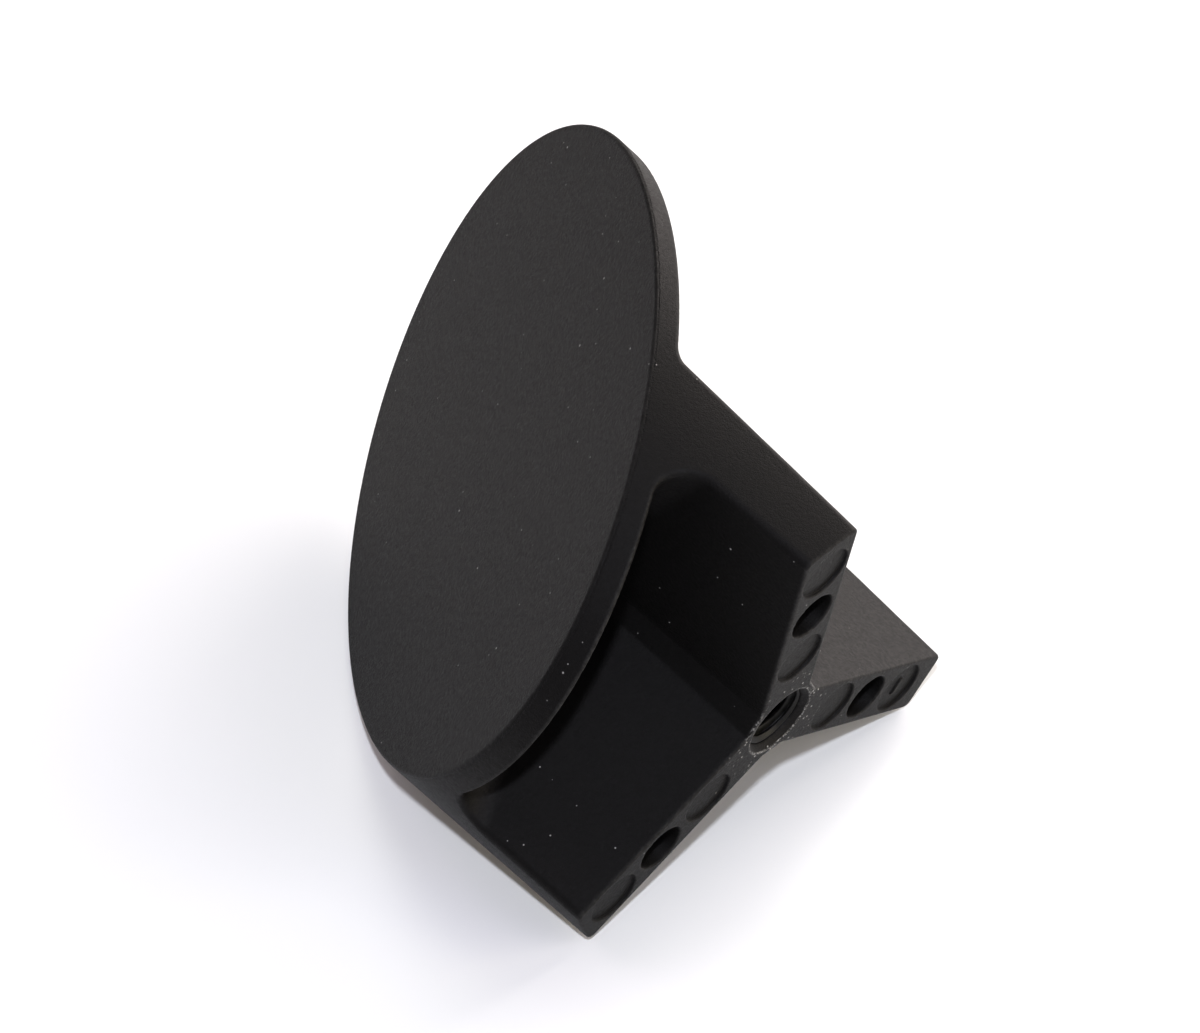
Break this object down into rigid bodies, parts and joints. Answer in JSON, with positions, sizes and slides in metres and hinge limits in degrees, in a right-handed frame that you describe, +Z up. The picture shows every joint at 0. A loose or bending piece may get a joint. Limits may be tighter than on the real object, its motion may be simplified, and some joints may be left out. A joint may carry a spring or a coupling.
{
  "type": "cleat horn",
  "caption": "Cleat horn with a slanted round head on a three-armed column; ropes turn round the column under the head, and the foot bolts down through a threaded centre hole.",
  "frame": {"origin": "on the foot plane, under the middle of the head; the bolt hole's axis is 4.9 mm from it, at X = -4.9 mm", "axes": "+Z up from the foot along the column, +X towards the high side of the slanted head and along one arm"},
  "size_m": [0.0736, 0.0736, 0.0882],
  "materials": {
    "casting": "matte black coat, fine grain on the head's face, smoother on the sides",
    "insert": "dark dry-film coated wire insert"
  },
  "bodies": {
    "root": {"horn_body": "casting", "thread_insert": "insert"}
  },
  "joints": []
}
